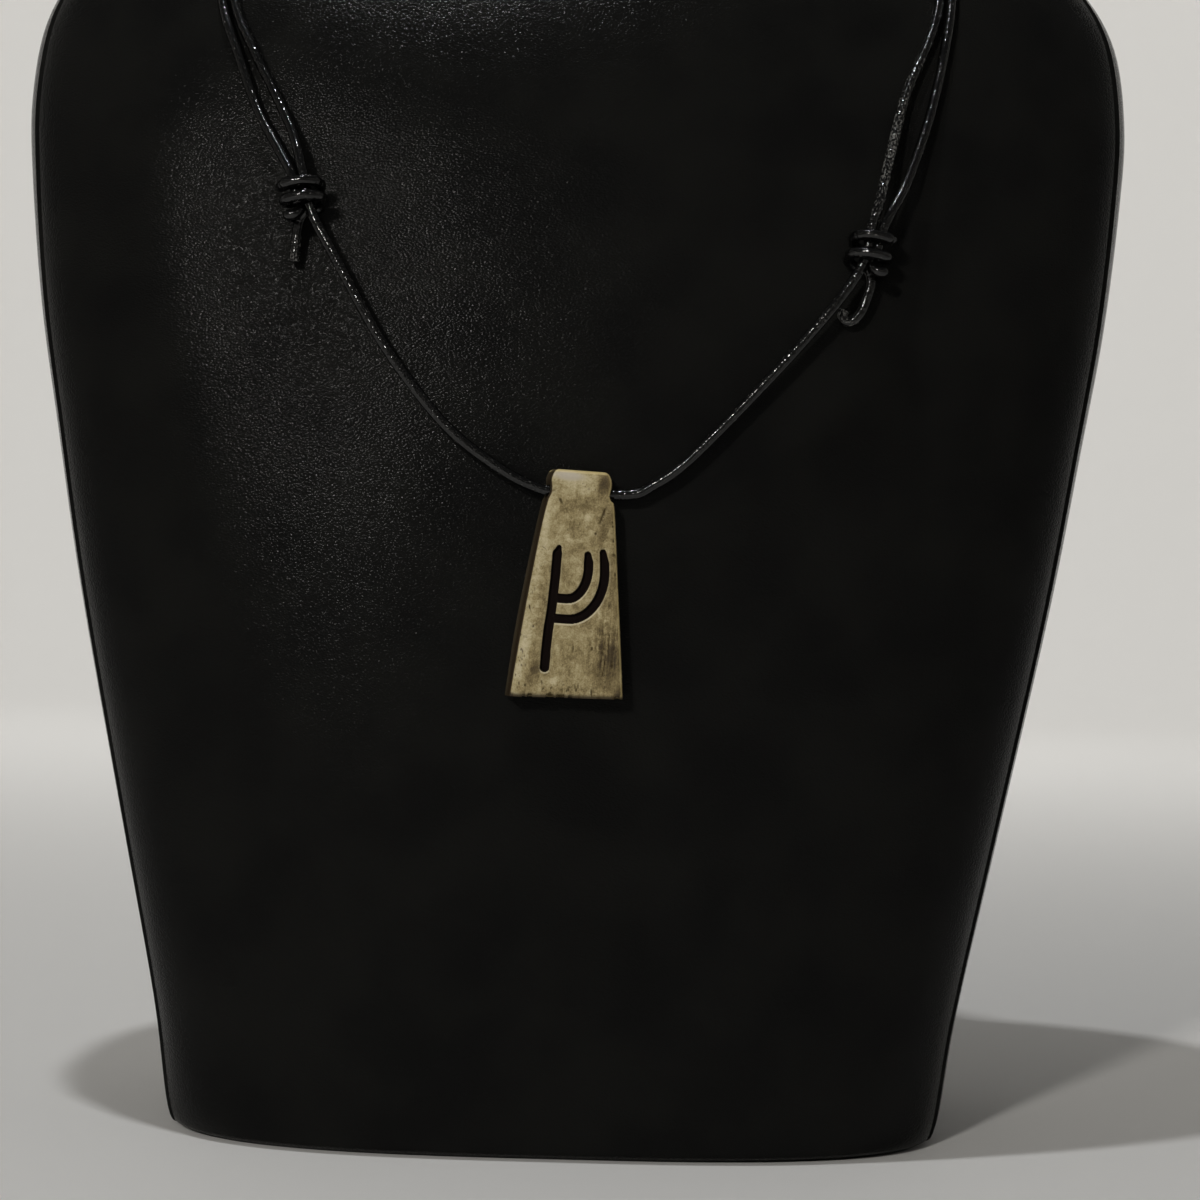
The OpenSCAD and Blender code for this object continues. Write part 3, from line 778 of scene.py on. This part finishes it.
# Height, half width, front, back, depth where it is widest, squareness of the section
BUST_ROWS = [
    (-0.004, 0.07, -0.051, 0.043, -0.017, 3.0), (0, 0.074, -0.055, 0.047, -0.018, 3.0),
    (0.004, 0.0765, -0.058, 0.05, -0.019, 3.0), (0.025, 0.0795, -0.06, 0.052, -0.02, 3.0),
    (0.06, 0.0865, -0.062, 0.052, -0.021, 3.0), (0.104, 0.0955, -0.063, 0.052, -0.021, 3.0),
    (0.136, 0.101, -0.0625, 0.052, -0.021, 3.0), (0.16, 0.105, -0.0605, 0.052, -0.021, 3.0),
    (0.185, 0.108, -0.0565, 0.051, -0.02, 2.9), (0.201, 0.109, -0.0525, 0.05, -0.019, 2.8),
    (0.217, 0.1075, -0.047, 0.048, -0.016, 2.7), (0.229, 0.102, -0.0415, 0.046, -0.012, 2.6),
    (0.239, 0.092, -0.0365, 0.044, -0.008, 2.5), (0.246, 0.077, -0.033, 0.0425, -0.003, 2.4),
    (0.251, 0.062, -0.031, 0.041, 0.001, 2.3), (0.258, 0.052, -0.0295, 0.04, 0.004, 2.2),
    (0.268, 0.047, -0.029, 0.039, 0.005, 2.1), (0.285, 0.045, -0.03, 0.0385, 0.004, 2.1),
    (BUST_HEIGHT - 0.004, 0.044, -0.0315, 0.038, 0.003, 2.1),
    (BUST_HEIGHT - 0.001, 0.0436, -0.0311, 0.0376, 0.003, 2.1),
    (BUST_HEIGHT, 0.042, -0.0295, 0.036, 0.003, 2.1),
]
BUST_STEPS = 6
BUST_SIDES = 144
SEAM_ANGLE = math.radians(17.5)
SEAM_DEPTH = 0.0006
SEAM_RIDGE = 0.00035
SEAM_HALF = math.radians(0.5)
SEAM_COLUMNS = 7
LEATHERETTE_BLACK = (0.006, 0.006, 0.0058, 1)
LEATHERETTE_GREY = (0.0085, 0.0085, 0.0078, 1)


def signed_power(value, power):
    """A power of a value's size, with the value's own sign."""
    return math.copysign(abs(value) ** power, value)


def bust_point(angle, row):
    """Where the bust's surface lies at an angle round it and at the height of a row."""
    z, half_width, front, back, widest, squareness = row
    out = signed_power(math.sin(angle), 2 / squareness)
    across = signed_power(math.cos(angle), 2 / squareness)
    # Positive on the side band, where the seam allowance swells up beside the groove
    from_seam = max(-4, min((math.sin(angle) + math.sin(SEAM_ANGLE)) / math.sin(SEAM_HALF), 6))
    sunk = SEAM_DEPTH * math.exp(-from_seam ** 2) - SEAM_RIDGE * math.exp(-(from_seam - 2) ** 2)
    return Vector((
        (half_width - sunk) * across, widest + out * (widest - front if out < 0 else back - widest), z
    ))


angles = [math.tau * k / BUST_SIDES for k in range(BUST_SIDES)]
for middle in (-SEAM_ANGLE, math.pi + SEAM_ANGLE):
    angles += [middle % math.tau + SEAM_HALF * k / 2 for k in range(-SEAM_COLUMNS, SEAM_COLUMNS + 1)]
angles.sort()
# The first row only shapes the curve, and lies under the foot
rows = [row for row in smooth_rows(BUST_ROWS, BUST_STEPS) if row[0] > -1e-6]
bust = lofted("neck_bust", angles, rows, bust_point)

leatherette, tree, shader = new_material("black_leatherette")
place = add_node(tree, "ShaderNodeTexCoord").outputs["Object"]
pebbles = add_node(tree, "ShaderNodeTexVoronoi", {
    "Vector": stretched(tree, place, (0.75, 0.75, 1.1)), "Scale": 2700, "Randomness": 1,
}).outputs["Distance"]
creases = grain(tree, place, 1300, 4, 0.65, 0.3, stretch=(0.5, 0.5, 1.3))
cloudy = grain(tree, place, 60)
colour = mixed(tree, ranged(tree, cloudy, 0.3, 0.7), LEATHERETTE_BLACK, LEATHERETTE_GREY)
tree.links.new(colour, shader.inputs["Base Color"])
tree.links.new(ranged(tree, creases, 0.35, 0.65, 0.08, 0.17), shader.inputs["Roughness"])
relief = added(tree, multiplied(tree, pebbles, -0.9), multiplied(tree, creases, 0.6))
tree.links.new(bumped(tree, relief, 0.0001, 0.8), shader.inputs["Normal"])
shader.inputs["Specular IOR Level"].default_value = 0.04
bust.data.materials.append(leatherette)
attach(bust, "root")
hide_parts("bust")

# Studio: a pale paper floor that curves up all round into a wall. One lamp stands in front, to the left
# and above, one hangs overhead, a wide one shines on the wall, and an even glow comes from all sides.
STAGE_RADIUS = 2.6
STAGE_CURVE = 0.9
STAGE_WALL = 2.2
STAGE_CURVE_STEPS = 12
STAGE_SIDES = 96
PAPER_COLOUR = (0.8, 0.79, 0.77, 1)
GLOW = 0.07

bm = bmesh.new()
profile = [bm.verts.new((0, 0, 0)), bm.verts.new((STAGE_RADIUS - STAGE_CURVE, 0, 0))]
for s in range(1, STAGE_CURVE_STEPS + 1):
    a = math.pi / 2 * s / STAGE_CURVE_STEPS
    profile.append(bm.verts.new((
        STAGE_RADIUS - STAGE_CURVE + STAGE_CURVE * math.sin(a), 0, STAGE_CURVE * (1 - math.cos(a))
    )))
profile.append(bm.verts.new((STAGE_RADIUS, 0, STAGE_WALL)))
edges = [bm.edges.new(pair) for pair in zip(profile, profile[1:])]
bmesh.ops.spin(
    bm, geom=profile + edges, cent=(0, 0, 0), axis=(0, 0, 1), angle=math.tau, steps=STAGE_SIDES,
    use_merge=True,
)
bmesh.ops.remove_doubles(bm, verts=bm.verts, dist=1e-5)
bmesh.ops.recalc_face_normals(bm, faces=bm.faces)
stage = finished(bm, "studio_floor")
pale, tree, shader = new_material("pale_paper")
shader.inputs["Base Color"].default_value = PAPER_COLOUR
shader.inputs["Roughness"].default_value = 0.9
stage.data.materials.append(pale)

# Name, place, what it is aimed at, width, height, power, colour
LIGHTS = [
    ("key_light", (-0.38, -0.95, 0.54), (0.0, -0.06, 0.14), 0.08, 0.08, 4.1, (1, 0.975, 0.93)),
    ("top_light", (-0.12, -0.2, 1.05), (0.0, -0.05, 0.18), 0.035, 0.035, 2.8, (0.97, 0.985, 1)),
    ("wall_light", (0.0, 0.9, 1.4), (0.0, 2.4, 0.4), 2.4, 1.2, 22.0, (1, 0.99, 0.97)),
]
for name, at, aim, width, height, power, colour in LIGHTS:
    data = bpy.data.lights.new(name, "AREA")
    data.shape, data.size, data.size_y = "RECTANGLE", width, height
    data.energy, data.color = power, colour
    lamp = bpy.data.objects.new(name, data)
    lamp.location = at
    lamp.rotation_euler = (Vector(aim) - Vector(at)).to_track_quat("-Z", "Y").to_euler()
    bpy.context.collection.objects.link(lamp)

world = bpy.data.worlds.new("studio_glow")
world.use_nodes = True
world.node_tree.nodes["Background"].inputs["Color"].default_value = (1, 1, 1, 1)
world.node_tree.nodes["Background"].inputs["Strength"].default_value = GLOW
bpy.context.scene.world = world
